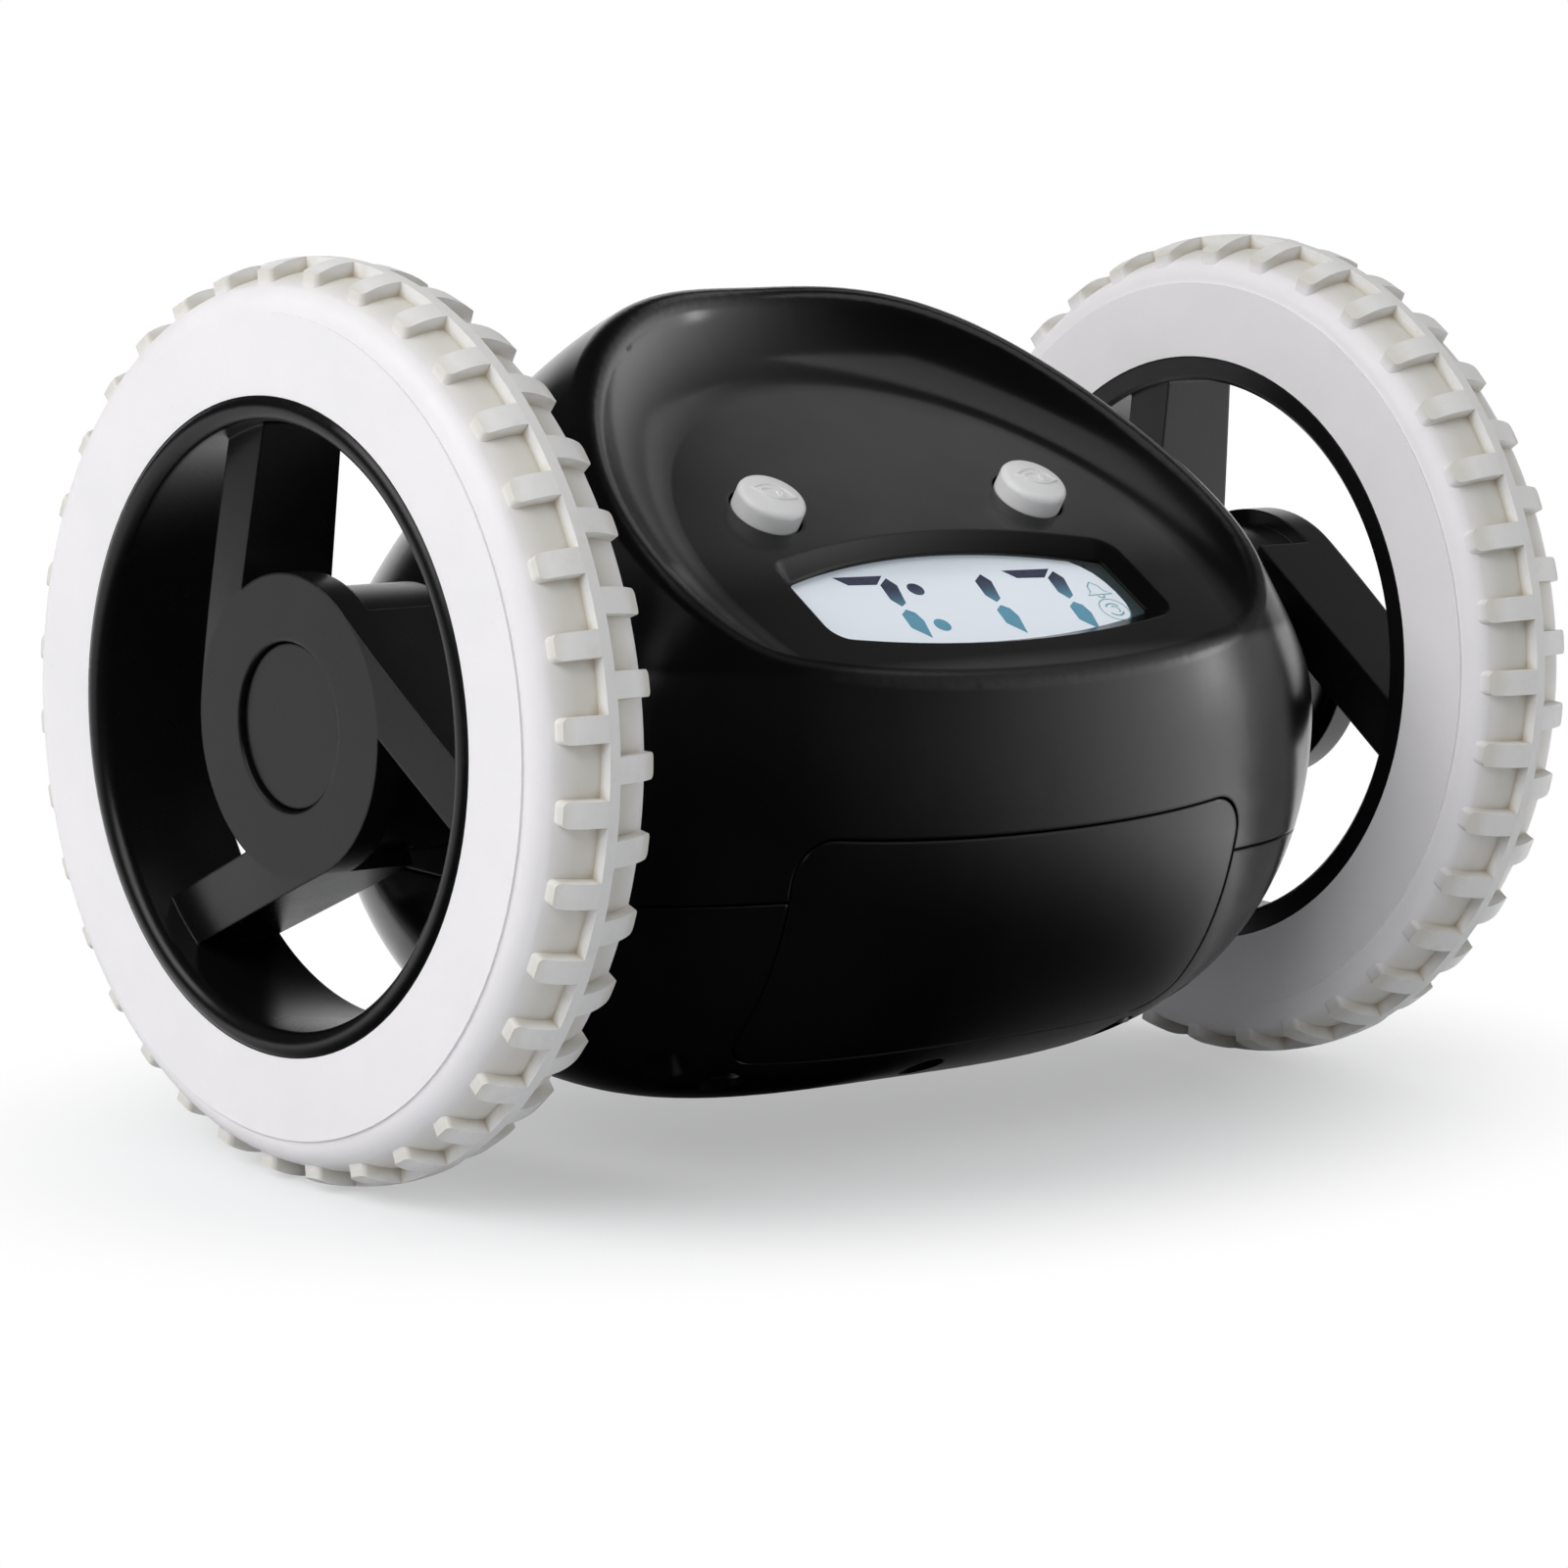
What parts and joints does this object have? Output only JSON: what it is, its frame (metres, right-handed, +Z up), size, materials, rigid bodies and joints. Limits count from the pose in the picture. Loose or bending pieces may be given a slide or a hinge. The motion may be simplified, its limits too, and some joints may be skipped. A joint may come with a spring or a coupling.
{
  "type": "rolling alarm clock",
  "caption": "Alarm clock with a dished face, display and push buttons in a rounded casing slung between powered treaded wheels.",
  "frame": {"origin": "on the floor, midway between the wheels and straight under the axle; base centre of the bounding box", "axes": "+X along the axle, -Y is the side that the face and the battery door look to, +Z up"},
  "size_m": [0.1354, 0.0888, 0.0889],
  "materials": {
    "tyre": "satin",
    "hub": "semi-gloss",
    "steel": "satin",
    "spring_steel": "satin",
    "screw": "satin",
    "gear": "satin",
    "gear_frame": "matte",
    "motor_can": "satin",
    "motor_cap": "matte",
    "magnet": "matte",
    "armature": "satin",
    "casing": "gloss",
    "inner_plastic": "matte",
    "cell": "satin",
    "contact": "bright",
    "lens": "clear",
    "display": "satin",
    "board": "satin",
    "switch": "matte",
    "button": "satin",
    "key": "satin",
    "speaker": "matte",
    "bush": "satin",
    "ballast": "matte"
  },
  "bodies": {
    "casing": {"axle_bushes": "bush", "ballast": "ballast", "battery_cells": "cell", "battery_contacts": "contact", "battery_tray": "inner_plastic", "board_screws": "screw", "casing_screws": "screw", "display_frame": "inner_plastic", "display_lens": "lens", "display_panel": "display", "face_switches": "switch", "gear_frame_screws": "screw", "gear_pins": "steel", "gear_plate_inner_left": "gear_frame", "gear_plate_inner_right": "gear_frame", "gear_plate_outer_left": "gear_frame", "gear_plate_outer_right": "gear_frame", "lower_shell": "casing", "main_board": "board", "motor_can_left": "motor_can", "motor_can_right": "motor_can", "motor_end_cap_left": "motor_cap", "motor_end_cap_right": "motor_cap", "motor_magnets": "magnet", "rear_board": "board", "rear_switches": "switch", "slide_switch": "switch", "speaker": "speaker", "upper_shell": "casing"},
    "wheel_right": {"tyre_right": "tyre", "wheel_hub_right": "hub", "hub_cap_right": "hub", "axle_right": "steel", "axle_clip_right": "spring_steel", "axle_screw_right": "screw", "wheel_gear_right": "gear"},
    "idler_right": {"double_gear_right": "gear"},
    "rotor_right": {"motor_armature_right": "armature", "motor_shaft_right": "steel", "motor_pinion_right": "gear"},
    "wheel_left": {"tyre_left": "tyre", "wheel_hub_left": "hub", "hub_cap_left": "hub", "axle_left": "steel", "axle_clip_left": "spring_steel", "axle_screw_left": "screw", "wheel_gear_left": "gear"},
    "idler_left": {"double_gear_left": "gear"},
    "rotor_left": {"motor_armature_left": "armature", "motor_shaft_left": "steel", "motor_pinion_left": "gear"},
    "face_button_left": {"button_left": "button"},
    "face_button_right": {"button_right": "button"},
    "hour_key": {"key_hour": "key"},
    "minute_key": {"key_minute": "key"},
    "alarm_key": {"key_alarm": "key"},
    "knob": {"slide_knob": "key"},
    "door": {"battery_door": "casing"}
  },
  "joints": [
    {"name": "wheel_right_spin", "type": "hinge", "parent": "casing", "child": "wheel_right", "pos_m": [0.06, 0, 0.04445], "axis": [1, 0, 0], "continuous": true},
    {"name": "idler_right_spin", "type": "hinge", "parent": "casing", "child": "idler_right", "pos_m": [0.034, 0.01321, 0.03873], "axis": [1, 0, 0], "continuous": true},
    {"name": "rotor_right_spin", "type": "hinge", "parent": "casing", "child": "rotor_right", "pos_m": [0.03, 0.011, 0.0245], "axis": [1, 0, 0], "continuous": true},
    {"name": "wheel_left_spin", "type": "hinge", "parent": "casing", "child": "wheel_left", "pos_m": [-0.06, 0, 0.04445], "axis": [1, 0, 0], "continuous": true},
    {"name": "idler_left_spin", "type": "hinge", "parent": "casing", "child": "idler_left", "pos_m": [-0.034, 0.01321, 0.03873], "axis": [1, 0, 0], "continuous": true},
    {"name": "rotor_left_spin", "type": "hinge", "parent": "casing", "child": "rotor_left", "pos_m": [-0.03, 0.011, 0.0245], "axis": [1, 0, 0], "continuous": true},
    {"name": "button_left_press", "type": "slide", "parent": "casing", "child": "face_button_left", "axis": [0, 0.5075, -0.8616], "range_m": [0, 0.0008], "stiffness_N_per_m": 400, "springref_m": -0.0005},
    {"name": "button_right_press", "type": "slide", "parent": "casing", "child": "face_button_right", "axis": [0, 0.5075, -0.8616], "range_m": [0, 0.0008], "stiffness_N_per_m": 400, "springref_m": -0.0005},
    {"name": "hour_key_press", "type": "slide", "parent": "casing", "child": "hour_key", "axis": [0, -1, 0], "range_m": [0, 0.0005], "stiffness_N_per_m": 400, "springref_m": -0.0005},
    {"name": "minute_key_press", "type": "slide", "parent": "casing", "child": "minute_key", "axis": [0, -1, 0], "range_m": [0, 0.0005], "stiffness_N_per_m": 400, "springref_m": -0.0005},
    {"name": "alarm_key_press", "type": "slide", "parent": "casing", "child": "alarm_key", "axis": [0, -1, 0], "range_m": [0, 0.0005], "stiffness_N_per_m": 400, "springref_m": -0.0005},
    {"name": "knob_slide", "type": "slide", "parent": "casing", "child": "knob", "axis": [0, 0, 1], "range_m": [0, 0.0025]},
    {"name": "door_lift_off", "type": "slide", "parent": "casing", "child": "door", "axis": [0, -0.887, -0.4617], "range_m": [0, 0.014]}
  ],
  "couplings": [
    {"joint": "idler_right_spin", "follows": "wheel_right_spin", "ratio": -3},
    {"joint": "rotor_right_spin", "follows": "wheel_right_spin", "ratio": 9},
    {"joint": "idler_left_spin", "follows": "wheel_left_spin", "ratio": -3},
    {"joint": "rotor_left_spin", "follows": "wheel_left_spin", "ratio": 9}
  ]
}
